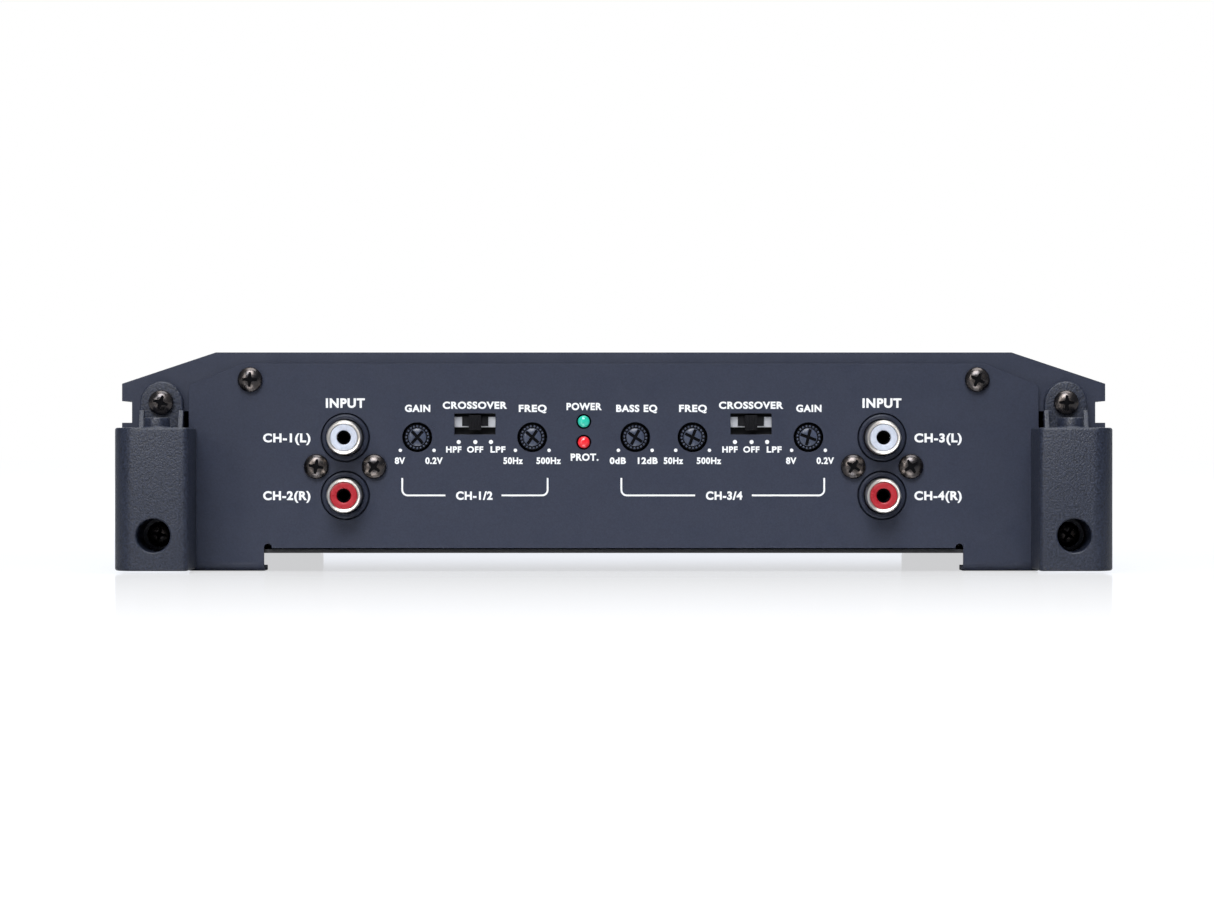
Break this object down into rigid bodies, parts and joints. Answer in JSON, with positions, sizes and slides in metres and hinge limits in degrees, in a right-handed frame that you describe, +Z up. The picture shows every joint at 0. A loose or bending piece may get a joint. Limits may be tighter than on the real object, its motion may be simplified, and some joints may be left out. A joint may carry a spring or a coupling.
{
  "type": "car amplifier",
  "caption": "Four-channel car audio amplifier: extruded heatsink body, control panel with phono inputs, trimmers and switches, corner feet, and rear supply, fuse and speaker terminals.",
  "frame": {"origin": "middle of the underside, on the surface that the amplifier stands on", "axes": "+Z up, -Y out of the control panel, +X to the right as seen facing the control panel"},
  "size_m": [0.237, 0.2994, 0.0527],
  "materials": {
    "painted_metal": "fine powder coat, dark blue-grey",
    "black_steel": "satin black coat",
    "screw_steel": "black nickel plate, bright",
    "foot_plastic": "grained moulding",
    "black_plastic": "satin moulding",
    "nickel": "bright nickel plate",
    "white_plastic": "smooth moulding",
    "red_plastic": "smooth moulding",
    "green_lens": "lit diffused lens",
    "red_lens": "lit diffused lens",
    "board": "solder-masked glass fibre board",
    "ferrite": "varnished copper winding",
    "capacitor_sleeve": "shrunk sleeve",
    "aluminium": "milled bar",
    "fuse_plastic": "translucent moulding"
  },
  "bodies": {
    "chassis": {"heatsink": "painted_metal", "front_panel": "painted_metal", "rear_panel": "painted_metal", "bottom_cover": "black_steel", "foot_front_left": "foot_plastic", "foot_front_right": "foot_plastic", "foot_rear_left": "foot_plastic", "foot_rear_right": "foot_plastic", "ear_screw_front_left": "screw_steel", "ear_screw_front_right": "screw_steel", "ear_screw_rear_left": "screw_steel", "ear_screw_rear_right": "screw_steel", "foot_screw_front_left": "screw_steel", "foot_screw_front_right": "screw_steel", "foot_screw_rear_left": "screw_steel", "foot_screw_rear_right": "screw_steel", "front_panel_screw_left": "screw_steel", "front_panel_screw_right": "screw_steel", "rear_panel_screw_left": "screw_steel", "rear_panel_screw_right": "screw_steel", "rca_screw_left_outer": "screw_steel", "rca_screw_left_inner": "screw_steel", "rca_screw_right_outer": "screw_steel", "rca_screw_right_inner": "screw_steel", "rca_block_left": "black_plastic", "rca_block_right": "black_plastic", "power_terminal_block": "black_plastic", "speaker_terminal_block": "black_plastic", "fuse_holder": "black_plastic", "gain_12_pot": "black_plastic", "freq_12_pot": "black_plastic", "bass_eq_pot": "black_plastic", "freq_34_pot": "black_plastic", "gain_34_pot": "black_plastic", "rca_shell_1": "nickel", "rca_shell_2": "nickel", "rca_shell_3": "nickel", "rca_shell_4": "nickel", "crossover_12_switch": "nickel", "crossover_34_switch": "nickel", "rca_insert_1": "white_plastic", "rca_insert_3": "white_plastic", "rca_insert_2": "red_plastic", "rca_insert_4": "red_plastic", "power_led": "green_lens", "protect_led": "red_lens", "circuit_board": "board", "control_board": "board", "power_transformer": "ferrite", "storage_capacitor": "capacitor_sleeve", "transistor_clamp_left": "aluminium", "transistor_clamp_right": "aluminium"},
    "gain_12_adjuster": {"gain_12_knob": "black_plastic"},
    "freq_12_adjuster": {"freq_12_knob": "black_plastic"},
    "bass_eq_adjuster": {"bass_eq_knob": "black_plastic"},
    "freq_34_adjuster": {"freq_34_knob": "black_plastic"},
    "gain_34_adjuster": {"gain_34_knob": "black_plastic"},
    "crossover_12_selector": {"crossover_12_slider": "black_plastic"},
    "crossover_34_selector": {"crossover_34_slider": "black_plastic"},
    "fuse": {"blade_fuse": "fuse_plastic"}
  },
  "joints": [
    {"name": "gain_12_turn", "type": "hinge", "parent": "chassis", "child": "gain_12_adjuster", "pos_m": [-0.0473, -0.126, 0.0322], "axis": [0, 1, 0], "range_deg": [-130, 130]},
    {"name": "freq_12_turn", "type": "hinge", "parent": "chassis", "child": "freq_12_adjuster", "pos_m": [-0.0196, -0.126, 0.0322], "axis": [0, 1, 0], "range_deg": [-130, 130]},
    {"name": "bass_eq_turn", "type": "hinge", "parent": "chassis", "child": "bass_eq_adjuster", "pos_m": [0.0052, -0.126, 0.0322], "axis": [0, 1, 0], "range_deg": [-130, 130]},
    {"name": "freq_34_turn", "type": "hinge", "parent": "chassis", "child": "freq_34_adjuster", "pos_m": [0.019, -0.126, 0.0322], "axis": [0, 1, 0], "range_deg": [-130, 130]},
    {"name": "gain_34_turn", "type": "hinge", "parent": "chassis", "child": "gain_34_adjuster", "pos_m": [0.0469, -0.126, 0.0322], "axis": [0, 1, 0], "range_deg": [-130, 130]},
    {"name": "crossover_12_slide", "type": "slide", "parent": "chassis", "child": "crossover_12_selector", "axis": [1, 0, 0], "range_m": [-0.003, 0.003]},
    {"name": "crossover_34_slide", "type": "slide", "parent": "chassis", "child": "crossover_34_selector", "axis": [1, 0, 0], "range_m": [-0.003, 0.003]},
    {"name": "fuse_pull", "type": "slide", "parent": "chassis", "child": "fuse", "axis": [0, 1, 0], "range_m": [0, 0.012]}
  ]
}
